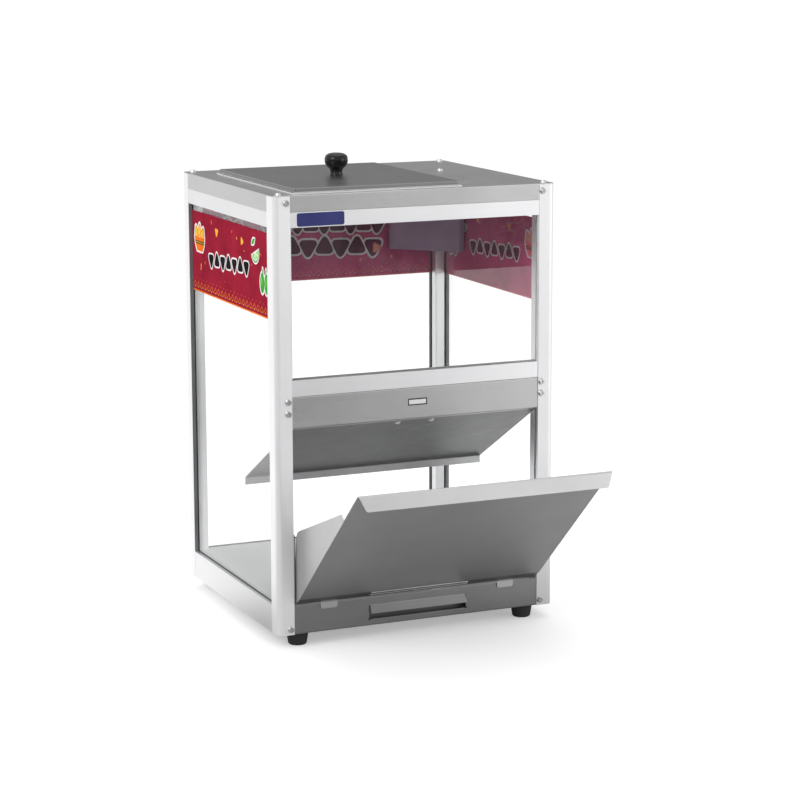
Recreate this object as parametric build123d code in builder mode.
"""Chip warmer: a glazed aluminium cabinet with a lift-off lid, a tilt-out serving flap and a crumb drawer.

Millimetres. +X is right and +Y is away from the serving side, whose flap faces -Y. +Z is up.
The origin is on the counter, under the middle of the cabinet's plan.
"""
from build123d import *

import os
from math import atan2, cos, radians, sin

os.makedirs("parts", exist_ok=True)

# ---- driving dimensions ----
cabinet_width = 430.0
cabinet_depth = 384.0
post_height = 619.0
foot_height = 20.0
post_size = 25.0
post_corner_radius = 8.0
small_edge = 0.8

sheet = 1.2
assembly_gap = 0.3
running_gap = 0.5

glass_thickness = 4.0
groove_clearance = 0.6
groove_depth = 8.0
pane_bite = 7.0
groove_inset = 8.0

bottom_rail_height = 40.0
top_rail_height = 21.4
skirt_height = 22.0
rail_setback = 0.3

screw_radius = 2.4
screw_clearance = 0.1
screw_head_radius = 4.9
screw_head_height = 2.9
screw_head_taper = 22.0
cross_length = 5.4
cross_width = 1.1
cross_depth = 1.4
screw_grip = 10.0
rail_screw_inset = 19.5
bottom_screw_height = 8.0
top_screw_drop = 9.0
mid_screw_heights = (317.0, 334.0)

mid_rail_bottom = 340.6
mid_rail_height = 23.0
mid_rail_depth = 19.0
mid_panel_height = 44.6
panel_setback = 0.8
chute_run = 192.0
chute_drop = 108.5
chute_hem = 10.5
chute_side_gap = 1.0
panel_flange = 14.0
panel_ear_low = 308.0
panel_ear_high = 338.0
panel_ear_reach = 12.0
bend_radius = 1.6

catch_width = 29.2
catch_height = 9.6
catch_level = 319.5
catch_depth = 17.0
catch_frame = 1.6
catch_slot_clearance = 0.2
catch_leg_spread = 26.0
catch_leg_width = 12.0
catch_rivet_setback = 11.0
rivet_radius = 2.0
rivet_head_radius = 4.2
rivet_head_height = 2.0

lid_left_margin = 38.0
lid_right_margin = 142.0
lid_front_margin = 18.0
lid_rear_margin = 58.0
lid_skirt = 5.0
lid_corner_radius = 3.0
lid_rim_gap = 1.0
lid_rest_gap = 0.2
rim_step = 3.5
rim_height = 6.0
knob_height = 32.0
knob_head_radius = 17.0
knob_head_height = 20.0
knob_neck_radius = 8.8
knob_foot_radius = 9.6
knob_insert_depth = 12.0
knob_screw_head_height = 2.2

flap_side_gap = 2.2
flap_length = 311.0
flap_offset = 8.0
flap_open_angle = 48.3
flap_pivot_setback = 6.5
flap_pivot_height = 47.5
flap_skin_start = 17.5
hinge_plate_start = 2.6
hinge_plate_end = 42.0
lip_width = 22.0
lip_angle = 113.0
lip_mitre = 9.5
lip_corner_radius = 4.0
cheek_apex_depth = 66.0
cheek_apex_height = 80.0
cheek_top = 243.0
cheek_apex_radius = 18.0
cheek_corner_radius = 7.0
cheek_toe_radius = 6.0
tab_inset = 52.0
tab_width = 25.5
tab_drop = 10.5
tab_corner_radius = 3.5
strip_slot_margin = 113.0
strip_slot_height = 8.5
strip_slot_start = 5.0
pivot_radius = 2.5
pivot_clearance = 0.06
pivot_head_radius = 4.5
pivot_head_height = 1.6
striker_thickness = 0.8
striker_margin = 2.0

drawer_front_height = 41.0
drawer_lift = 1.8
drawer_setback = 0.5
drawer_ledge = 15.0
drawer_ear_height = 144.0
drawer_ear_depth = 21.0
drawer_ear_round = 8.0
handle_margin = 114.0
handle_slot_bottom = 9.3
handle_slot_top = 30.3
handle_lip = 13.0
handle_lip_angle = 33.0
handle_relief_radius = 1.5
tray_foot_gap = 9.0
tray_front_setback = 14.0
tray_rear_gap = 7.0
tray_lift = 4.3
tray_height = 27.0
tray_sheet = 1.0

floor_top = 39.8
floor_front_setback = 28.0
floor_flange = 18.0
base_flange = 12.0
runner_inset = 18.0
runner_width = 12.0
runner_height = 2.8
runner_end_gap = 20.0

foot_top_radius = 16.0
foot_bottom_radius = 13.3
foot_edge = 1.5
foot_inset_x = 38.0
foot_inset_front = 24.0
foot_inset_rear = 15.0
foot_counterbore_radius = 6.0
foot_counterbore_depth = 9.0
foot_screw_grip = 9.0

print_height = 120.0
print_drop = 10.0
print_thickness = 0.3
print_side_gap = 1.0
badge_width = 70.0
badge_height = 18.5
badge_thickness = 0.4
badge_radius = 3.0
badge_margin = 10.0

housing_leg = 88.0
housing_chin = 8.0
housing_height = 131.0
housing_sheet = 1.0
housing_glass_gap = 0.6
housing_tongue_inset = 74.0
housing_tongue_reach = 150.0
housing_tongue_width = 24.0
grille_slot = 4.0
grille_pitch = 8.0
grille_margin = 6.0
lamp_inset = 29.85
lamp_radius = 19.5
lamp_length = 66.0
lamp_bowl_height = 26.0
lamp_neck_radius = 11.5
lamp_cap_radius = 6.8
lamp_cap_length = 22.0
holder_radius = 9.5
holder_wall = 2.4
holder_length = 38.0
holder_flange_radius = 13.0
holder_flange_height = 3.0
terminal_side = 11.0
terminal_height = 15.0
terminal_inset_x = 61.5
terminal_inset_y = 39.0
terminal_wire_radius = 1.6
terminal_wire_spread = 3.2
nut_flats = 8.0
nut_height = 4.0
tongue_screw_length = 7.0
dowel_radius = 2.5
dowel_length = 12.0
dowel_inset = 4.5
dowel_fit = 0.02
mid_dowel_inset = 8.5
gasket_lip = 0.8
gasket_fit = 0.02
gasket_flange = 1.0
gasket_edge_gap = 0.4

gland_inset = 65.0
gland_radius = 6.0
gland_bore_radius = 3.6
gland_nut_flats = 16.0
gland_nut_height = 4.0
gland_dome_radius = 7.5
gland_dome_length = 9.0
switch_inset = 103.0
switch_width = 19.0
switch_height = 13.0
switch_bezel = 1.2
switch_bezel_height = 1.6
switch_depth = 18.0
rocker_width = 15.0
rocker_height = 9.4
rocker_tilt = 8.0
rocker_gap = 0.35
rocker_pin_radius = 1.0
rocker_pin_clearance = 0.05
rocker_thickness = 5.5

# ---- levels and planes worked out from them ----
half_width = cabinet_width / 2
half_depth = cabinet_depth / 2
inner_x = half_width - post_size
inner_y = half_depth - post_size
base = foot_height
top = base + post_height
rail_top = top - skirt_height
rail_bottom = rail_top - top_rail_height
groove_width = glass_thickness + 2 * groove_clearance
groove_x = half_width - groove_inset
groove_y = half_depth - groove_inset
mid_bottom = base + mid_rail_bottom
mid_top = mid_bottom + mid_rail_height
panel_front = -half_depth + panel_setback
panel_bottom = mid_bottom - mid_panel_height
cover_top = top + sheet
rim_top = cover_top + rim_height
lid_under = rim_top + lid_rest_gap
lid_top = lid_under + sheet
drawer_front = -half_depth + drawer_setback
pivot_y = -half_depth + flap_pivot_setback
pivot_z = base + flap_pivot_height
print_top = rail_bottom - print_drop
housing_bottom = top - housing_height
top_dowel = (half_depth - post_size + dowel_inset, rail_bottom + top_rail_height / 2)
bottom_dowel = (half_depth - post_size + dowel_inset, base + bottom_rail_height / 2)
mid_dowel = (inner_y + mid_dowel_inset, mid_bottom + (mid_rail_height - groove_depth) / 2)
screw_bore = screw_radius + screw_clearance
lid_width = cabinet_width - lid_left_margin - lid_right_margin
lid_depth = cabinet_depth - lid_front_margin - lid_rear_margin
lid_centre_x = (lid_left_margin - lid_right_margin) / 2
lid_centre_y = (lid_front_margin - lid_rear_margin) / 2
flap_width = 2 * (inner_x - flap_side_gap)
tab_spread = inner_x - tab_inset
handle_length = 2 * (inner_x - handle_margin)
strip_slot_length = 2 * (inner_x - strip_slot_margin)
foot_x = half_width - foot_inset_x
foot_front_y = -half_depth + foot_inset_front
foot_rear_y = half_depth - foot_inset_rear
tray_half_width = foot_x - tray_foot_gap
tray_rear = inner_y - tray_rear_gap
runner_spread = tray_half_width - runner_inset
badge_x = -inner_x + badge_margin + badge_width / 2
housing_tongue_x = half_width - housing_tongue_inset
housing_tongue_y = half_depth - housing_tongue_reach
terminal_centre = (half_width - terminal_inset_x, half_depth - terminal_inset_y)
gland_x = half_width - gland_inset
switch_x = half_width - switch_inset


def save(builder, name):
    """Label the finished piece and write it as one STEP file."""
    builder.part.label = name
    export_step(builder.part, f"parts/{name}.step")


def block(x_range, y_range, z_range, mode=Mode.ADD):
    """Add or cut a box that lies between two values on each axis."""
    centre = [(low + high) / 2 for low, high in (x_range, y_range, z_range)]
    size = [abs(high - low) for low, high in (x_range, y_range, z_range)]
    with Locations(tuple(centre)):
        Box(*size, mode=mode)


def rod(start, direction, radius, length, mode=Mode.ADD):
    """Add or cut a round bar from a point along a direction."""
    with BuildSketch(Plane(origin=start, z_dir=direction)) as disc:
        Circle(radius)
    extrude(disc.sketch, amount=length, mode=mode)


def pan_screw(seat, inward, length):
    """Add a cross-head pan screw whose head sits on a face at the point called seat."""
    outward = tuple(-value for value in inward)
    rod(seat, inward, screw_radius, length)
    with BuildSketch(Plane(origin=seat, z_dir=outward)) as head:
        Circle(screw_head_radius)
    extrude(head.sketch, amount=screw_head_height, taper=screw_head_taper)
    with BuildSketch(Plane(origin=seat, z_dir=outward).offset(screw_head_height)) as cross:
        Rectangle(cross_length, cross_width)
        Rectangle(cross_width, cross_length)
    extrude(cross.sketch, amount=-cross_depth, mode=Mode.SUBTRACT)


def dowel_hole(side_x, y, z):
    """Cut the hole for a dowel pin that joins a rail's end to the post beside it."""
    start = (side_x * (inner_x - dowel_length / 2), y, z)
    rod(start, (side_x, 0, 0), dowel_radius + dowel_fit, dowel_length, mode=Mode.SUBTRACT)


def folded_sheet(plane, points, radius, thickness, width, side=Side.LEFT):
    """Add a bent sheet: the points are one face's bend line, extruded both ways from the plane."""
    with BuildSketch(plane) as section:
        with BuildLine():
            FilletPolyline(*points, radius=radius)
            offset(amount=thickness, side=side)
        make_face()
    extrude(section.sketch, amount=width / 2, both=True)


# ---- corner posts ----
corners = {
    "front_left": (-1, -1),
    "front_right": (1, -1),
    "rear_left": (-1, 1),
    "rear_right": (1, 1),
}


def post_screw_heights(side_y):
    """Heights of the screws through a post's outer face: the front posts also hold the mid panel."""
    rails = (base + bottom_screw_height, top - top_screw_drop)
    if side_y > 0:
        return rails
    return rails + tuple(base + height for height in mid_screw_heights)


for corner, (side_x, side_y) in corners.items():
    centre_x = side_x * (half_width - post_size / 2)
    centre_y = side_y * (half_depth - post_size / 2)
    with BuildPart() as post:
        with BuildSketch(Plane.XY.offset(base)) as profile:
            with Locations((centre_x, centre_y)):
                Rectangle(post_size, post_size)
            outward = Axis((0, 0, 0), (side_x, side_y, 0))
            points = profile.vertices().sort_by(outward)
            fillet(points[-1], post_corner_radius)
            fillet(profile.vertices().sort_by(outward)[0], small_edge)
            with Locations((side_x * groove_x, side_y * (inner_y + groove_depth / 2))):
                Rectangle(groove_width, groove_depth, mode=Mode.SUBTRACT)
            with Locations((side_x * (inner_x + groove_depth / 2), side_y * groove_y)):
                Rectangle(groove_depth, groove_width, mode=Mode.SUBTRACT)
            with Locations((centre_x, centre_y)):
                Circle(screw_bore, mode=Mode.SUBTRACT)
        extrude(amount=post_height)
        for height in post_screw_heights(side_y):
            seat = (side_x * (half_width - rail_screw_inset), side_y * half_depth, height)
            rod(seat, (0, -side_y, 0), screw_bore, post_size, mode=Mode.SUBTRACT)
        dowel_hole(side_x, side_y * top_dowel[0], top_dowel[1])
        if side_y > 0:
            dowel_hole(side_x, *bottom_dowel)
        else:
            dowel_hole(side_x, -mid_dowel[0], mid_dowel[1])
    save(post, f"post_{corner}")


# ---- rails between the posts ----
def cut_screw_ports(height, depth):
    """Cut the four blind screw ports that a side rail has in its ends."""
    for side_x in (-1, 1):
        for side_y in (-1, 1):
            seat = (side_x * (half_width - rail_screw_inset), side_y * inner_y, height)
            rod(seat, (0, -side_y, 0), screw_bore, depth, mode=Mode.SUBTRACT)


rail_outer_x = half_width - rail_setback
rail_outer_y = half_depth - rail_setback
skirt_inner_x = half_width - sheet - assembly_gap
skirt_inner_y = half_depth - sheet - assembly_gap
port_depth = screw_grip + groove_clearance
groove_half = groove_width / 2

for name, side in (("left", -1), ("right", 1)):
    with BuildPart() as top_side_rail:
        block((side * inner_x, side * rail_outer_x), (-inner_y, inner_y), (rail_bottom, rail_top))
        block((side * inner_x, side * skirt_inner_x), (-inner_y, inner_y), (rail_top, top))
        block((side * groove_x - groove_half, side * groove_x + groove_half), (-inner_y, inner_y),
              (rail_bottom, rail_bottom + groove_depth), mode=Mode.SUBTRACT)
        cut_screw_ports(top - top_screw_drop, port_depth)
    save(top_side_rail, f"top_rail_{name}")

    with BuildPart() as bottom_side_rail:
        block((side * inner_x, side * rail_outer_x), (-inner_y, inner_y), (base, base + bottom_rail_height))
        block((side * groove_x - groove_half, side * groove_x + groove_half), (-inner_y, inner_y),
              (base + bottom_rail_height - groove_depth, base + bottom_rail_height), mode=Mode.SUBTRACT)
        cut_screw_ports(base + bottom_screw_height, port_depth)
    save(bottom_side_rail, f"bottom_rail_{name}")

gland_level = top - skirt_height / 2
with BuildPart() as top_rail_front:
    block((-inner_x, inner_x), (-rail_outer_y, -inner_y), (rail_bottom, rail_top))
    block((-inner_x, inner_x), (-skirt_inner_y, -inner_y), (rail_top, top))
    block((-inner_x, inner_x), (-groove_y - groove_half, -groove_y + groove_half),
          (rail_bottom, rail_bottom + groove_depth), mode=Mode.SUBTRACT)
    for side in (-1, 1):
        dowel_hole(side, -top_dowel[0], top_dowel[1])
save(top_rail_front, "top_rail_front")

switch_cut_x = switch_width / 2 + catch_slot_clearance
switch_cut_z = switch_height / 2 + catch_slot_clearance
with BuildPart() as top_rail_rear:
    block((-inner_x, inner_x), (inner_y, rail_outer_y), (rail_bottom, rail_top))
    block((-inner_x, inner_x), (inner_y, skirt_inner_y), (rail_top, top))
    block((-inner_x, inner_x), (groove_y - groove_half, groove_y + groove_half),
          (rail_bottom, rail_bottom + groove_depth), mode=Mode.SUBTRACT)
    rod((gland_x, half_depth, gland_level), (0, -1, 0), gland_radius + screw_clearance, post_size,
        mode=Mode.SUBTRACT)
    block((switch_x - switch_cut_x, switch_x + switch_cut_x), (inner_y, half_depth),
          (gland_level - switch_cut_z, gland_level + switch_cut_z), mode=Mode.SUBTRACT)
    for side in (-1, 1):
        dowel_hole(side, *top_dowel)
save(top_rail_rear, "top_rail_rear")

with BuildPart() as bottom_rail_rear:
    block((-inner_x, inner_x), (inner_y, rail_outer_y), (base, base + bottom_rail_height))
    block((-inner_x, inner_x), (groove_y - groove_half, groove_y + groove_half),
          (base + bottom_rail_height - groove_depth, base + bottom_rail_height), mode=Mode.SUBTRACT)
    for side in (-1, 1):
        rod((side * foot_x, foot_rear_y, base), (0, 0, 1), screw_bore, foot_screw_grip + groove_clearance,
            mode=Mode.SUBTRACT)
        dowel_hole(side, *bottom_dowel)
save(bottom_rail_rear, "bottom_rail_rear")

with BuildPart() as mid_rail:
    block((-inner_x, inner_x), (panel_front, panel_front + mid_rail_depth), (mid_bottom, mid_top))
    block((-inner_x, inner_x), (-groove_y - groove_half, -groove_y + groove_half),
          (mid_top - groove_depth, mid_top), mode=Mode.SUBTRACT)
    for side in (-1, 1):
        dowel_hole(side, -mid_dowel[0], mid_dowel[1])
save(mid_rail, "mid_rail")

with BuildPart() as rail_dowels:
    for side in (-1, 1):
        for y, z in (top_dowel, bottom_dowel, (-top_dowel[0], top_dowel[1]), (-mid_dowel[0], mid_dowel[1])):
            rod((side * (inner_x - dowel_length / 2), y, z), (side, 0, 0), dowel_radius, dowel_length)
save(rail_dowels, "rail_dowels")

# ---- glass and the printed film on it ----
pane_half = glass_thickness / 2
bottom_pane_edge = base + bottom_rail_height - pane_bite
top_pane_edge = rail_bottom + pane_bite
for name, side in (("left", -1), ("right", 1)):
    with BuildPart() as side_pane:
        block((side * groove_x - pane_half, side * groove_x + pane_half),
              (-inner_y - pane_bite, inner_y + pane_bite), (bottom_pane_edge, top_pane_edge))
    save(side_pane, f"glass_{name}")

    film_face = groove_x + pane_half
    with BuildPart() as side_film:
        block((side * film_face, side * (film_face + print_thickness)),
              (-inner_y + print_side_gap, inner_y - print_side_gap), (print_top - print_height, print_top))
    save(side_film, f"printed_film_{name}")

with BuildPart() as rear_pane:
    block((-inner_x - pane_bite, inner_x + pane_bite), (groove_y - pane_half, groove_y + pane_half),
          (bottom_pane_edge, top_pane_edge))
save(rear_pane, "glass_rear")

with BuildPart() as front_pane:
    block((-inner_x - pane_bite, inner_x + pane_bite), (-groove_y - pane_half, -groove_y + pane_half),
          (mid_top - pane_bite, top_pane_edge))
save(front_pane, "glass_front")

with BuildPart() as rear_film:
    block((-inner_x + print_side_gap, inner_x - print_side_gap),
          (groove_y + pane_half, groove_y + pane_half + print_thickness),
          (print_top - print_height, print_top))
save(rear_film, "printed_film_rear")

# ---- rubber channels round the glass, flanged over the posts outside it ----
gasket_half = groove_half - gasket_fit
groove_end = groove_depth - gasket_fit
flange_start = pane_half + print_thickness + gasket_fit
flange_end = groove_inset - gasket_edge_gap


def rail_channel(strip, across, level, lip):
    """Add the channel in a rail's groove: strip(low, high, z_range) places a bar along the rail."""
    strip(across - gasket_half, across + gasket_half, (level - groove_depth, level + lip))


def side_post_channels(side, level):
    """Add the channels in the two posts beside a side pane, each with its outer flange."""
    for end in (-1, 1):
        block((side * (groove_x - gasket_half), side * (groove_x + gasket_half)),
              (end * inner_y, end * (inner_y + groove_end)), (level - groove_depth, rail_bottom))
        block((side * (groove_x + flange_start), side * (groove_x + flange_end)),
              (end * (inner_y - gasket_flange), end * inner_y), (level, rail_bottom))


def front_post_channels(side, level):
    """Add the channels in the two posts beside the front (-1) or rear (1) pane, each with its outer flange."""
    for end in (-1, 1):
        block((end * inner_x, end * (inner_x + groove_end)),
              (side * (groove_y - gasket_half), side * (groove_y + gasket_half)),
              (level - groove_depth, rail_bottom))
        block((end * (inner_x - gasket_flange), end * inner_x),
              (side * (groove_y + flange_start), side * (groove_y + flange_end)), (level, rail_bottom))


def strip_along_y(low, high, z_range):
    """Bar beside a side rail."""
    block((low, high), (-inner_y, inner_y), z_range)


def strip_along_x(low, high, z_range):
    """Bar beside a front or rear rail."""
    block((-inner_x, inner_x), (low, high), z_range)


bottom_level = base + bottom_rail_height
with BuildPart() as side_gaskets:
    for side in (-1, 1):
        rail_channel(strip_along_y, side * groove_x, bottom_level, gasket_lip)
        side_post_channels(side, bottom_level)
        block((side * groove_x - pane_half, side * groove_x + pane_half),
              (-inner_y - pane_bite, inner_y + pane_bite), (bottom_pane_edge, top_pane_edge), mode=Mode.SUBTRACT)
save(side_gaskets, "side_gaskets")

for name, side, level, lip in (("rear", 1, bottom_level, gasket_lip), ("front", -1, mid_top, 0)):
    with BuildPart() as gasket:
        rail_channel(strip_along_x, side * groove_y, level, lip)
        front_post_channels(side, level)
        block((-inner_x - pane_bite, inner_x + pane_bite),
              (side * groove_y - pane_half, side * groove_y + pane_half), (level - pane_bite, top_pane_edge),
              mode=Mode.SUBTRACT)
    save(gasket, f"{name}_gasket")

# ---- top cover, lid rim, lid and knob ----
lid_outer_x = lid_width / 2
lid_outer_y = lid_depth / 2
collar_x = lid_outer_x - sheet - lid_rim_gap
collar_y = lid_outer_y - sheet - lid_rim_gap
top_screw_places = [
    (side_x * (half_width - post_size / 2), side_y * (half_depth - post_size / 2))
    for side_x, side_y in corners.values()
]
tongue_place = (housing_tongue_x, housing_tongue_y)

with BuildPart() as top_cover:
    with BuildSketch(Plane.XY.offset(top)):
        RectangleRounded(cabinet_width, cabinet_depth, post_corner_radius)
        with Locations((lid_centre_x, lid_centre_y)):
            Rectangle(2 * (collar_x - sheet), 2 * (collar_y - sheet), mode=Mode.SUBTRACT)
        with Locations(*top_screw_places, tongue_place):
            Circle(screw_bore, mode=Mode.SUBTRACT)
    extrude(amount=sheet)
    rim_edges = top_cover.faces().sort_by(Axis.Z)[-1].outer_wire().edges()
    fillet(rim_edges, small_edge)
    for side in (-1, 1):
        block((side * (half_width - sheet), side * half_width),
              (-inner_y + assembly_gap, inner_y - assembly_gap), (rail_top + assembly_gap, top))
        block((-inner_x + assembly_gap, inner_x - assembly_gap),
              (side * (half_depth - sheet), side * half_depth), (rail_top + assembly_gap, top))
    rod((gland_x, half_depth, gland_level), (0, -1, 0), gland_radius + screw_clearance, post_size,
        mode=Mode.SUBTRACT)
    block((switch_x - switch_cut_x, switch_x + switch_cut_x), (inner_y, half_depth),
          (gland_level - switch_cut_z, gland_level + switch_cut_z), mode=Mode.SUBTRACT)
save(top_cover, "top_cover")

with BuildPart() as lid_rim:
    with BuildSketch(Plane.XY.offset(cover_top)):
        with Locations((lid_centre_x, lid_centre_y)):
            RectangleRounded(lid_width + 2 * rim_step, lid_depth + 2 * rim_step, lid_corner_radius)
            Rectangle(2 * (collar_x - sheet), 2 * (collar_y - sheet), mode=Mode.SUBTRACT)
    extrude(amount=sheet)
    with BuildSketch(Plane.XY.offset(cover_top)):
        with Locations((lid_centre_x, lid_centre_y)):
            Rectangle(2 * collar_x, 2 * collar_y)
            Rectangle(2 * (collar_x - sheet), 2 * (collar_y - sheet), mode=Mode.SUBTRACT)
    extrude(amount=rim_height)
save(lid_rim, "lid_rim")

knob_place = (lid_centre_x, lid_centre_y)
with BuildPart() as lid:
    with BuildSketch(Plane.XY.offset(lid_top - lid_skirt)):
        with Locations((lid_centre_x, lid_centre_y)):
            RectangleRounded(lid_width, lid_depth, lid_corner_radius)
    extrude(amount=lid_skirt)
    lid_edges = lid.faces().sort_by(Axis.Z)[-1].edges()
    fillet(lid_edges, small_edge)
    with BuildSketch(Plane.XY.offset(lid_top - lid_skirt)):
        with Locations((lid_centre_x, lid_centre_y)):
            Rectangle(lid_width - 2 * sheet, lid_depth - 2 * sheet)
    extrude(amount=lid_skirt - sheet, mode=Mode.SUBTRACT)
    rod((*knob_place, lid_under), (0, 0, 1), screw_bore, sheet, mode=Mode.SUBTRACT)
save(lid, "lid")

knob_neck_height = knob_height - knob_head_height
with BuildPart() as lid_knob:
    with BuildSketch(Plane.XZ.offset(-lid_centre_y)):
        with BuildLine():
            foot_edge_point = (lid_centre_x + knob_foot_radius, lid_top)
            neck_point = (lid_centre_x + knob_neck_radius, lid_top + knob_neck_height / 2)
            head_point = (lid_centre_x + knob_head_radius, lid_top + knob_neck_height + knob_head_height / 2)
            crown_point = (lid_centre_x, lid_top + knob_height)
            Line((lid_centre_x, lid_top), foot_edge_point)
            Spline(foot_edge_point, neck_point, head_point, tangents=((-0.2, 1), (0, 1)))
            Spline(head_point, crown_point, tangents=((0, 1), (-1, 0)))
            Line(crown_point, (lid_centre_x, lid_top))
        make_face()
    revolve(axis=Axis((*knob_place, 0), (0, 0, 1)))
    rod((*knob_place, lid_top), (0, 0, 1), screw_bore, knob_insert_depth, mode=Mode.SUBTRACT)
save(lid_knob, "lid_knob")

with BuildPart() as knob_screw:
    rod((*knob_place, lid_under), (0, 0, 1), screw_radius, sheet + knob_insert_depth - screw_clearance)
    rod((*knob_place, lid_under), (0, 0, -1), screw_head_radius, knob_screw_head_height)
save(knob_screw, "knob_screw")

# ---- mid panel with the chute plate behind it ----
yz_plane = Plane(origin=(0, 0, 0), x_dir=(0, 1, 0), z_dir=(1, 0, 0))
chute_end_y = panel_front + chute_run
chute_end_z = panel_bottom - chute_drop
chute_angle = atan2(chute_drop, chute_run)
panel_half = inner_x - assembly_gap
chute_cut = chute_side_gap
ear_back = -inner_y + sheet

with BuildPart() as mid_panel:
    folded_sheet(
        yz_plane,
        [
            (panel_front + panel_flange, mid_bottom),
            (panel_front, mid_bottom),
            (panel_front, panel_bottom),
            (chute_end_y, chute_end_z),
            (chute_end_y, chute_end_z - chute_hem),
        ],
        bend_radius, sheet, 2 * panel_half,
    )
    for side in (-1, 1):
        block((side * (panel_half - chute_cut), side * panel_half),
              (panel_front + sheet + bend_radius, chute_end_y + sheet * 2),
              (chute_end_z - chute_hem - sheet, panel_bottom + sheet), mode=Mode.SUBTRACT)
        block((side * (panel_half - sheet), side * panel_half), (panel_front, ear_back),
              (base + panel_ear_low, base + panel_ear_high))
        block((side * (panel_half - sheet), side * (panel_half + panel_ear_reach)), (-inner_y, ear_back),
              (base + panel_ear_low, base + panel_ear_high))
        for height in mid_screw_heights:
            rod((side * (half_width - rail_screw_inset), -inner_y, base + height), (0, 1, 0), screw_bore,
                sheet, mode=Mode.SUBTRACT)
    block((-catch_width / 2 - catch_slot_clearance, catch_width / 2 + catch_slot_clearance),
          (panel_front - sheet, panel_front + 2 * sheet),
          (base + catch_level - catch_height / 2 - catch_slot_clearance,
           base + catch_level + catch_height / 2 + catch_slot_clearance), mode=Mode.SUBTRACT)
    chute_normal = (0, sin(chute_angle), cos(chute_angle))
    rivet_y = panel_front + catch_rivet_setback
    rivet_z = panel_bottom - (rivet_y - panel_front) * chute_drop / chute_run
    for side in (-1, 1):
        rod((side * catch_leg_spread, rivet_y, rivet_z), chute_normal, rivet_radius, 2 * sheet,
            mode=Mode.SUBTRACT)
save(mid_panel, "mid_panel")

# ---- magnetic catch behind the mid panel ----
catch_front = panel_front
catch_back = panel_front + catch_depth
body_front = panel_front + sheet
leg_floor = sheet / cos(chute_angle) + screw_clearance


def chute_level(y):
    """Height just above the chute plate's upper face at a given depth."""
    return panel_bottom - (y - panel_front) * chute_drop / chute_run + leg_floor


with BuildPart() as catch_body:
    block((-catch_width / 2, catch_width / 2), (catch_front, body_front),
          (base + catch_level - catch_height / 2, base + catch_level + catch_height / 2))
    block((-catch_leg_spread - catch_leg_width / 2, catch_leg_spread + catch_leg_width / 2),
          (body_front, catch_back),
          (base + catch_level - catch_height / 2 - catch_frame, base + catch_level + catch_height / 2))
    leg_front = body_front + bend_radius
    for side in (-1, 1):
        with BuildSketch(yz_plane.offset(side * catch_leg_spread - catch_leg_width / 2)) as leg:
            with BuildLine():
                Polyline(
                    (leg_front, base + catch_level),
                    (leg_front, chute_level(leg_front)),
                    (catch_back, chute_level(catch_back)),
                    (catch_back, base + catch_level),
                    close=True,
                )
            make_face()
        extrude(leg.sketch, amount=catch_leg_width)
        rod((side * catch_leg_spread, rivet_y, rivet_z), chute_normal, rivet_radius,
            sheet + rivet_head_radius * 2, mode=Mode.SUBTRACT)
    magnet_half_x = catch_width / 2 - catch_frame
    magnet_half_z = catch_height / 2 - catch_frame
    block((-magnet_half_x, magnet_half_x), (catch_front, catch_back - 2 * catch_frame),
          (base + catch_level - magnet_half_z, base + catch_level + magnet_half_z), mode=Mode.SUBTRACT)
save(catch_body, "catch_body")

with BuildPart() as catch_magnet:
    block((-magnet_half_x, magnet_half_x), (catch_front, catch_back - 2 * catch_frame),
          (base + catch_level - magnet_half_z, base + catch_level + magnet_half_z))
save(catch_magnet, "catch_magnet")

with BuildPart() as catch_rivets:
    for side in (-1, 1):
        rivet_foot = (side * catch_leg_spread, rivet_y, rivet_z)
        rod(rivet_foot, chute_normal, rivet_radius, sheet + rivet_head_radius * 2)
        with BuildSketch(Plane(origin=rivet_foot, z_dir=tuple(-v for v in chute_normal))) as rivet_head:
            Circle(rivet_head_radius)
        extrude(rivet_head.sketch, amount=rivet_head_height, taper=2 * screw_head_taper)
save(catch_rivets, "catch_rivets")

# ---- floor, base plate, drawer runners and feet ----
plate_half = inner_x - assembly_gap
plate_rear = inner_y - assembly_gap
floor_front = -half_depth + floor_front_setback
base_front = drawer_front + sheet + assembly_gap
with BuildPart() as floor_plate:
    block((-plate_half, plate_half), (floor_front, plate_rear),
          (base + floor_top - sheet, base + floor_top))
    for side in (-1, 1):
        block((side * (plate_half - sheet), side * plate_half), (floor_front, plate_rear),
              (base + floor_top - floor_flange, base + floor_top))
    block((-plate_half, plate_half), (plate_rear - sheet, plate_rear),
          (base + floor_top - floor_flange, base + floor_top))
save(floor_plate, "floor_plate")

ear_clear = drawer_ear_depth + drawer_setback + assembly_gap
with BuildPart() as base_plate:
    block((-plate_half, plate_half), (base_front, plate_rear), (base, base + sheet))
    for side in (-1, 1):
        block((side * (plate_half - sheet), side * plate_half), (-half_depth + ear_clear, plate_rear),
              (base, base + base_flange))
        rod((side * foot_x, foot_front_y, base), (0, 0, 1), screw_bore, sheet, mode=Mode.SUBTRACT)
    block((-plate_half, plate_half), (plate_rear - sheet, plate_rear), (base, base + base_flange))
save(base_plate, "base_plate")

with BuildPart() as drawer_runners:
    for side in (-1, 1):
        block((side * runner_spread - runner_width / 2, side * runner_spread + runner_width / 2),
              (base_front + runner_end_gap, plate_rear - runner_end_gap),
              (base + sheet, base + sheet + runner_height))
save(drawer_runners, "drawer_runners")

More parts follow.
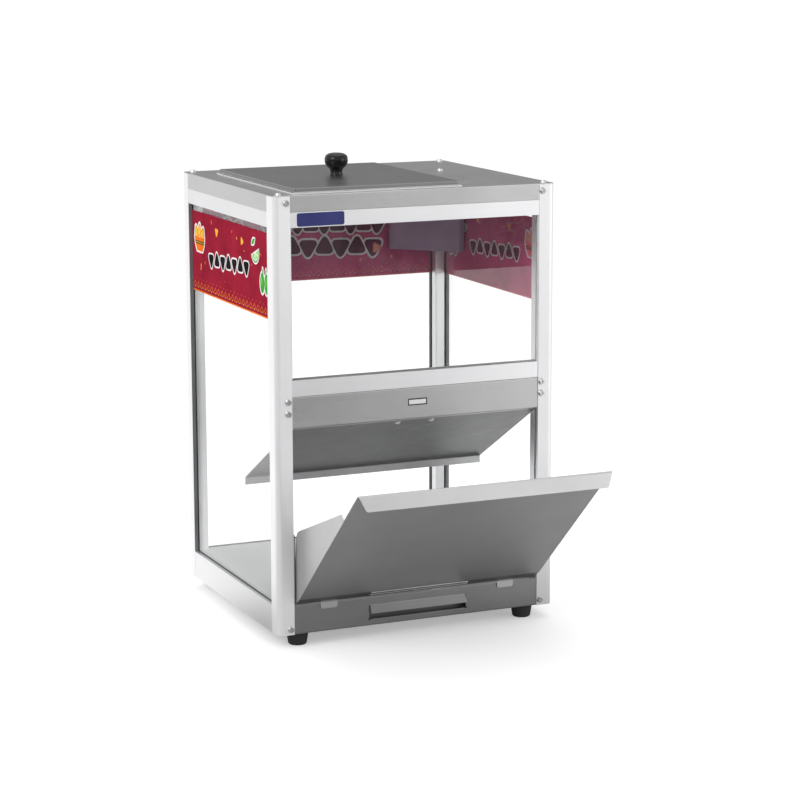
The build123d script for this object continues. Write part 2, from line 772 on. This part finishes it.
foot_places = {
    "front_left": (-foot_x, foot_front_y),
    "front_right": (foot_x, foot_front_y),
    "rear_left": (-foot_x, foot_rear_y),
    "rear_right": (foot_x, foot_rear_y),
}
for corner, (x, y) in foot_places.items():
    with BuildPart() as foot:
        with BuildSketch(Plane(origin=(x, y, 0), x_dir=(1, 0, 0), z_dir=(0, -1, 0))) as foot_section:
            with BuildLine():
                Polyline(
                    (0, 0),
                    (foot_bottom_radius - foot_edge, 0),
                    (foot_bottom_radius, foot_edge),
                    (foot_top_radius, foot_height - foot_edge),
                    (foot_top_radius, foot_height),
                    (0, foot_height),
                    close=True,
                )
            make_face()
        revolve(foot_section.sketch, axis=Axis((x, y, 0), (0, 0, 1)))
        rod((x, y, 0), (0, 0, 1), foot_counterbore_radius, foot_counterbore_depth, mode=Mode.SUBTRACT)
        rod((x, y, 0), (0, 0, 1), screw_bore, foot_height, mode=Mode.SUBTRACT)
    save(foot, f"foot_{corner}")

with BuildPart() as foot_screws:
    for x, y in foot_places.values():
        length = foot_height - foot_counterbore_depth + foot_screw_grip
        pan_screw((x, y, foot_counterbore_depth), (0, 0, 1), length)
save(foot_screws, "foot_screws")

# ---- crumb drawer ----
drawer_half = inner_x - running_gap
drawer_bottom = base + drawer_lift
drawer_top = base + drawer_front_height
slot_low = base + handle_slot_bottom
slot_high = base + handle_slot_top
ear_pin_place = (pivot_y, pivot_z)

with BuildPart() as drawer_panel:
    block((-drawer_half, drawer_half), (drawer_front, drawer_front + sheet), (drawer_bottom, drawer_top))
    block((-drawer_half, drawer_half), (drawer_front, drawer_front + drawer_ledge),
          (drawer_top - sheet, drawer_top))
    for side in (-1, 1):
        ear_x = side * drawer_half
        with BuildSketch(yz_plane.offset(min(ear_x, ear_x - side * sheet))) as ear:
            ear_centre_y = drawer_front + drawer_ear_depth / 2
            ear_centre_z = (drawer_bottom + base + drawer_ear_height) / 2
            with Locations((ear_centre_y, ear_centre_z)):
                Rectangle(drawer_ear_depth, base + drawer_ear_height - drawer_bottom)
            ear_corner = ear.vertices().sort_by(Axis((0, 0, 0), (0, 1, 1)))[-1]
            fillet(ear_corner, drawer_ear_round)
            with Locations(ear_pin_place):
                Circle(pivot_radius, mode=Mode.SUBTRACT)
        extrude(ear.sketch, amount=sheet)
    block((-handle_length / 2, handle_length / 2), (drawer_front, drawer_front + sheet),
          (slot_low, slot_high), mode=Mode.SUBTRACT)
    for side in (-1, 1):
        rod((side * handle_length / 2, drawer_front, slot_low), (0, 1, 0), handle_relief_radius, sheet,
            mode=Mode.SUBTRACT)
    lip_drop = handle_lip * cos(radians(handle_lip_angle))
    lip_out = handle_lip * sin(radians(handle_lip_angle))
    folded_sheet(
        yz_plane,
        [
            (drawer_front, slot_high + bend_radius),
            (drawer_front, slot_high),
            (drawer_front - lip_out, slot_high - lip_drop),
        ],
        bend_radius / 2, sheet, handle_length - 2 * handle_relief_radius,
    )
save(drawer_panel, "drawer_front")

tray_front = drawer_front + sheet + tray_front_setback
tray_floor = base + tray_lift
tray_top = tray_floor + tray_height
with BuildPart() as crumb_tray:
    block((-tray_half_width, tray_half_width), (tray_front, tray_rear), (tray_floor, tray_top))
    block((-tray_half_width + tray_sheet, tray_half_width - tray_sheet),
          (tray_front + tray_sheet, tray_rear - tray_sheet), (tray_floor + tray_sheet, tray_top),
          mode=Mode.SUBTRACT)
    for side in (-1, 1):
        block((side * (tray_half_width - tray_sheet), side * tray_half_width),
              (drawer_front + sheet, tray_front), (tray_floor, tray_top))
save(crumb_tray, "crumb_tray")

with BuildPart() as pivot_pins:
    cheek_outer = flap_width / 2
    for side in (-1, 1):
        rod((side * drawer_half, pivot_y, pivot_z), (-side, 0, 0), pivot_radius,
            drawer_half - cheek_outer + sheet + screw_clearance)
        rod((side * (cheek_outer - sheet - screw_clearance), pivot_y, pivot_z), (-side, 0, 0),
            pivot_head_radius, pivot_head_height)
save(pivot_pins, "pivot_pins")

# ---- serving flap: drawn upright in its own plane, which leans out by the open angle ----
lean = radians(flap_open_angle)
inward_axis = (0, cos(lean), sin(lean))


def flap_plane(x):
    """Plane across the flap at x: first axis points into the bin, second one up the flap."""
    return Plane(origin=(x, pivot_y, pivot_z), x_dir=inward_axis, z_dir=(1, 0, 0))


def flap_point(x, depth, height):
    """World position of a point given by its depth and height on the upright flap."""
    return (x, pivot_y + depth * cos(lean) - height * sin(lean),
            pivot_z + depth * sin(lean) + height * cos(lean))


def flap_direction(depth, height):
    """World direction of a direction given on the upright flap."""
    return (0, depth * cos(lean) - height * sin(lean), depth * sin(lean) + height * cos(lean))


lip_turn = radians(lip_angle)
lip_end = (-flap_offset - lip_width * sin(lip_turn), flap_length + lip_width * cos(lip_turn))

with BuildPart() as flap_sheet:
    folded_sheet(
        flap_plane(0),
        [(-flap_offset, flap_skin_start), (-flap_offset, flap_length), lip_end],
        bend_radius, sheet, flap_width, side=Side.RIGHT,
    )
    lip_normal = flap_direction(-cos(lip_turn), -sin(lip_turn))
    fold_point = flap_point(0, -flap_offset, flap_length)
    lip_plane = Plane(origin=fold_point, x_dir=(1, 0, 0), z_dir=lip_normal)
    lip_reach = lip_width + sheet
    lip_sign = lip_plane.to_local_coords(Vector(*flap_point(0, *lip_end))).Y
    lip_sign = 1 if lip_sign > 0 else -1
    for side in (-1, 1):
        with BuildSketch(lip_plane) as mitre:
            with BuildLine():
                Polyline(
                    (side * flap_width / 2, 0),
                    (side * (flap_width / 2 - lip_mitre), lip_sign * lip_reach),
                    (side * (flap_width / 2 + lip_mitre), lip_sign * lip_reach),
                    close=True,
                )
            make_face()
        extrude(mitre.sketch, amount=2 * sheet, both=True, mode=Mode.SUBTRACT)
    for side in (-1, 1):
        lip_corner = Vector(*flap_point(side * (flap_width / 2 - lip_mitre), *lip_end))
        short_edges = [edge for edge in flap_sheet.edges() if edge.length < 2 * sheet]
        short_edges.sort(key=lambda edge: (edge.center() - lip_corner).length)
        fillet(short_edges[0], lip_corner_radius)
    for side in (-1, 1):
        cheek_x = side * flap_width / 2
        with BuildSketch(flap_plane(min(cheek_x, cheek_x - side * sheet))) as cheek:
            Circle(cheek_toe_radius)
            with Locations((cheek_apex_depth - cheek_apex_radius, cheek_apex_height)):
                Circle(cheek_apex_radius)
            with Locations((cheek_corner_radius - flap_offset, cheek_top - cheek_corner_radius)):
                Circle(cheek_corner_radius)
            with Locations((sheet / 2 - flap_offset, (flap_skin_start + cheek_top) / 2)):
                Rectangle(sheet, cheek_top - flap_skin_start - 2 * cheek_corner_radius)
            make_hull()
            Circle(pivot_radius + pivot_clearance, mode=Mode.SUBTRACT)
        extrude(cheek.sketch, amount=sheet)
save(flap_sheet, "flap")

skin_inner = -flap_offset + sheet
with BuildPart() as hinge_plate:
    with BuildSketch(Plane(origin=flap_point(0, skin_inner, 0), x_dir=(1, 0, 0),
                           z_dir=flap_direction(1, 0))) as strip:
        strip_up = 1 if strip.workplanes[0].y_dir.Z > 0 else -1
        strip_low = strip_up * hinge_plate_start
        strip_high = strip_up * hinge_plate_end
        with Locations((0, (strip_low + strip_high) / 2)):
            Rectangle(flap_width - 2 * sheet - 2 * assembly_gap, abs(strip_high - strip_low))
        with Locations((0, strip_up * (strip_slot_start + strip_slot_height / 2))):
            SlotOverall(strip_slot_length, strip_slot_height, mode=Mode.SUBTRACT)
    extrude(strip.sketch, amount=sheet)
    bend = flap_point(0, skin_inner, hinge_plate_start)
    tab_outer = bend[1]
    for side in (-1, 1):
        with BuildSketch(Plane(origin=(side * tab_spread, tab_outer, bend[2]), x_dir=(1, 0, 0),
                               z_dir=(0, -1, 0))) as tab:
            with Locations((0, (sheet - tab_drop) / 2)):
                Rectangle(tab_width, tab_drop + sheet)
            fillet(tab.vertices().group_by(Axis.Z)[0], tab_corner_radius)
        extrude(tab.sketch, amount=sheet)
save(hinge_plate, "flap_hinge_plate")

striker_height = base + catch_level - pivot_z
with BuildPart() as striker:
    with BuildSketch(Plane(origin=flap_point(0, skin_inner, striker_height), x_dir=(1, 0, 0),
                           z_dir=flap_direction(1, 0))) as striker_outline:
        Rectangle(catch_width + 2 * striker_margin, catch_height + 2 * striker_margin)
        fillet(striker_outline.vertices(), striker_margin)
    extrude(striker_outline.sketch, amount=striker_thickness)
save(striker, "flap_striker")

# ---- badge plate on the front top rail ----
badge_level = (rail_top + rail_bottom) / 2
with BuildPart() as badge:
    with BuildSketch(Plane(origin=(badge_x, -rail_outer_y, badge_level), x_dir=(1, 0, 0), z_dir=(0, -1, 0))):
        RectangleRounded(badge_width, badge_height, badge_radius)
    extrude(amount=badge_thickness)
save(badge, "badge")

# ---- lamp housing in the rear right corner, under the top cover ----
glass_x = groove_x - pane_half - housing_glass_gap
glass_y = groove_y - pane_half - housing_glass_gap
wall_x = inner_x - assembly_gap
wall_y = inner_y - assembly_gap
leg_x = glass_x - housing_leg
leg_y = glass_y - housing_leg
chin_x = glass_x - housing_chin
chin_y = glass_y - housing_chin
lamp_x = glass_x - lamp_inset - housing_sheet
lamp_y = glass_y - lamp_inset - housing_sheet
cover_height = housing_height - housing_sheet - assembly_gap


housing_plan = [(glass_x, glass_y), (leg_x, glass_y), (leg_x, chin_y), (chin_x, leg_y), (glass_x, leg_y)]


def clear_frame(low):
    """Cut what the rear right post and the top rails take from the housing's corner."""
    block((wall_x, half_width), (0, half_depth), (rail_bottom - assembly_gap, top), mode=Mode.SUBTRACT)
    block((0, half_width), (wall_y, half_depth), (rail_bottom - assembly_gap, top), mode=Mode.SUBTRACT)
    block((wall_x, half_width), (wall_y, half_depth), (low, top), mode=Mode.SUBTRACT)


with BuildPart() as lamp_housing:
    with BuildSketch(Plane.XY.offset(top - housing_sheet)) as housing_roof:
        Polygon(*housing_plan, align=None)
    extrude(housing_roof.sketch, amount=housing_sheet)
    block((housing_tongue_x - housing_tongue_width / 2, housing_tongue_x + housing_tongue_width / 2),
          (housing_tongue_y - housing_tongue_width / 2, chin_y), (top - housing_sheet, top))
    clear_frame(rail_bottom)
    wall_start_x = leg_x + chin_y - wall_y + 3 * housing_sheet
    wall_start_y = leg_y + chin_x - wall_x + 3 * housing_sheet
    block((wall_start_x, wall_x), (wall_y - housing_sheet, wall_y), (rail_bottom, top))
    block((wall_x - housing_sheet, wall_x), (wall_start_y, wall_y), (rail_bottom, top))
    rod((*tongue_place, top), (0, 0, -1), screw_bore, housing_sheet, mode=Mode.SUBTRACT)
    rod((gland_x, inner_y, gland_level), (0, -1, 0), gland_radius + screw_clearance,
        2 * housing_sheet, mode=Mode.SUBTRACT)
save(lamp_housing, "lamp_housing")

with BuildPart() as lamp_cover:
    with BuildSketch(Plane.XY.offset(housing_bottom)) as cover_wall:
        Polygon(*housing_plan, align=None)
        offset(amount=-housing_sheet, mode=Mode.SUBTRACT)
    extrude(cover_wall.sketch, amount=cover_height)
    clear_frame(housing_bottom)
save(lamp_cover, "lamp_cover")

with BuildPart() as lamp_grille:
    with BuildSketch(Plane.XY.offset(housing_bottom)) as grille_plate:
        Polygon(*housing_plan, align=None)
        offset(amount=-housing_sheet - dowel_fit, mode=Mode.INTERSECT)
    extrude(grille_plate.sketch, amount=housing_sheet)
    clear_frame(housing_bottom)
    slot_end = wall_x - grille_margin
    slot_y = leg_y + grille_margin + grille_pitch
    while slot_y < wall_y - grille_margin:
        slot_start = leg_x + chin_y - slot_y + 2 * grille_margin
        block((slot_start, slot_end), (slot_y - grille_slot / 2, slot_y + grille_slot / 2),
              (housing_bottom, housing_bottom + housing_sheet), mode=Mode.SUBTRACT)
        slot_y += grille_pitch
save(lamp_grille, "lamp_grille")

holder_top = top - housing_sheet
holder_mouth = holder_top - holder_length
with BuildPart() as lamp_holder:
    rod((lamp_x, lamp_y, holder_top), (0, 0, -1), holder_flange_radius, holder_flange_height)
    rod((lamp_x, lamp_y, holder_top), (0, 0, -1), holder_radius, holder_length)
    rod((lamp_x, lamp_y, holder_mouth), (0, 0, 1), holder_radius - holder_wall,
        lamp_cap_length + holder_wall, mode=Mode.SUBTRACT)
save(lamp_holder, "lamp_holder")

lamp_top = holder_mouth + lamp_cap_length
lamp_face = lamp_top - lamp_cap_length - lamp_length
with BuildPart() as heat_lamp:
    with BuildSketch(Plane(origin=(lamp_x, lamp_y, 0), x_dir=(1, 0, 0), z_dir=(0, -1, 0))) as bulb:
        with BuildLine():
            shoulder = (lamp_radius, lamp_face + lamp_bowl_height / 2)
            neck = (lamp_neck_radius, lamp_face + lamp_length - lamp_bowl_height / 2)
            Line((0, lamp_face), (lamp_radius - small_edge, lamp_face))
            Line((lamp_radius - small_edge, lamp_face), shoulder)
            Spline(shoulder, neck, tangents=((0, 1), (0, 1)))
            Polyline(neck, (lamp_cap_radius, lamp_top - lamp_cap_length), (lamp_cap_radius, lamp_top),
                     (0, lamp_top))
            Line((0, lamp_top), (0, lamp_face))
        make_face()
    revolve(bulb.sketch, axis=Axis((lamp_x, lamp_y, 0), (0, 0, 1)))
save(heat_lamp, "heat_lamp")

with BuildPart() as terminal_block:
    terminal_x, terminal_y = terminal_centre
    half = terminal_side / 2
    block((terminal_x - half, terminal_x + half), (terminal_y - half, terminal_y + half),
          (holder_top - terminal_height, holder_top))
    for spread in (-terminal_wire_spread, terminal_wire_spread):
        rod((terminal_x + spread, terminal_y - half, holder_top - terminal_height / 2), (0, 1, 0),
            terminal_wire_radius, terminal_side, mode=Mode.SUBTRACT)
save(terminal_block, "terminal_block")

# ---- power inlet gland and rocker switch on the rear top rail ----
gland_inner = wall_y - housing_sheet
with BuildPart() as cable_gland:
    with BuildSketch(Plane(origin=(gland_x, half_depth, gland_level), x_dir=(1, 0, 0), z_dir=(0, 1, 0))) as hexagon:
        RegularPolygon(gland_nut_flats / 2, 6, major_radius=False)
    extrude(hexagon.sketch, amount=gland_nut_height)
    dome_start = half_depth + gland_nut_height
    rod((gland_x, dome_start, gland_level), (0, 1, 0), gland_dome_radius, gland_dome_length)
    fillet(cable_gland.edges().group_by(Axis.Y)[-1], gland_dome_radius - gland_bore_radius - small_edge)
    rod((gland_x, half_depth, gland_level), (0, -1, 0), gland_radius,
        half_depth - gland_inner + gland_nut_height + small_edge)
    rod((gland_x, dome_start + gland_dome_length, gland_level), (0, -1, 0), gland_bore_radius,
        dome_start + gland_dome_length, mode=Mode.SUBTRACT)
save(cable_gland, "cable_gland")

with BuildPart() as gland_nut:
    with BuildSketch(Plane(origin=(gland_x, gland_inner, gland_level), x_dir=(1, 0, 0), z_dir=(0, -1, 0))) as lock:
        RegularPolygon(gland_nut_flats / 2, 6, major_radius=False)
        Circle(gland_radius + dowel_fit, mode=Mode.SUBTRACT)
    extrude(lock.sketch, amount=gland_nut_height)
save(gland_nut, "gland_nut")

rocker_pivot_y = half_depth + rocker_pin_radius / 2
bezel_x = switch_width / 2 + switch_bezel
bezel_z = switch_height / 2 + switch_bezel
cavity_x = rocker_width / 2 + 2 * rocker_gap
cavity_z = rocker_height / 2 + rocker_gap
pin_half = cavity_z + rocker_pin_radius
with BuildPart() as switch_body:
    block((switch_x - bezel_x, switch_x + bezel_x), (half_depth, half_depth + switch_bezel_height),
          (gland_level - bezel_z, gland_level + bezel_z))
    block((switch_x - switch_width / 2, switch_x + switch_width / 2), (half_depth - switch_depth, half_depth),
          (gland_level - switch_height / 2, gland_level + switch_height / 2))
    block((switch_x - cavity_x, switch_x + cavity_x),
          (half_depth - rocker_thickness, half_depth + switch_bezel_height),
          (gland_level - cavity_z, gland_level + cavity_z), mode=Mode.SUBTRACT)
    rod((switch_x, rocker_pivot_y, gland_level - pin_half - rocker_pin_clearance), (0, 0, 1),
        rocker_pin_radius + rocker_pin_clearance, 2 * (pin_half + rocker_pin_clearance),
        mode=Mode.SUBTRACT)
save(switch_body, "switch_body")

rest_tilt = radians(rocker_tilt)
rocker_plane = Plane(origin=(switch_x, rocker_pivot_y, gland_level),
                     x_dir=(cos(rest_tilt), sin(rest_tilt), 0), z_dir=(0, 0, 1))
with BuildPart() as switch_rocker:
    with BuildSketch(rocker_plane) as rocker_outline:
        with BuildLine():
            Polyline(
                (-rocker_width / 2, -rocker_thickness / 3),
                (rocker_width / 2, -rocker_thickness / 3),
                (rocker_width / 2, rocker_thickness / 2),
                (0, rocker_thickness / 3),
                (-rocker_width / 2, rocker_thickness / 2),
                close=True,
            )
        make_face()
    extrude(rocker_outline.sketch, amount=rocker_height / 2, both=True)
    rod((switch_x, rocker_pivot_y, gland_level - pin_half), (0, 0, 1), rocker_pin_radius, 2 * pin_half)
save(switch_rocker, "switch_rocker")

# ---- screws and nuts ----
with BuildPart() as post_screws:
    for side_x, side_y in corners.values():
        for height in post_screw_heights(side_y):
            grip = screw_grip if height in post_screw_heights(1) else sheet + nut_height
            seat = (side_x * (half_width - rail_screw_inset), side_y * half_depth, height)
            pan_screw(seat, (0, -side_y, 0), post_size + grip)
save(post_screws, "post_screws")

with BuildPart() as top_screws:
    for x, y in top_screw_places:
        pan_screw((x, y, cover_top), (0, 0, -1), sheet + screw_grip)
    pan_screw((*tongue_place, cover_top), (0, 0, -1), tongue_screw_length)
save(top_screws, "top_screws")

nut_planes = [Plane(origin=(side * foot_x, foot_front_y, base + sheet)) for side in (-1, 1)]
nut_planes.append(Plane(origin=(*tongue_place, top - housing_sheet), z_dir=(0, 0, -1)))
for side in (-1, 1):
    for height in mid_screw_heights:
        nut_seat = (side * (half_width - rail_screw_inset), ear_back, base + height)
        nut_planes.append(Plane(origin=nut_seat, x_dir=(1, 0, 0), z_dir=(0, 1, 0)))
with BuildPart() as nuts:
    for plane in nut_planes:
        with BuildSketch(plane) as nut:
            RegularPolygon(nut_flats / 2, 6, major_radius=False)
            Circle(screw_bore, mode=Mode.SUBTRACT)
        extrude(nut.sketch, amount=nut_height)
save(nuts, "nuts")
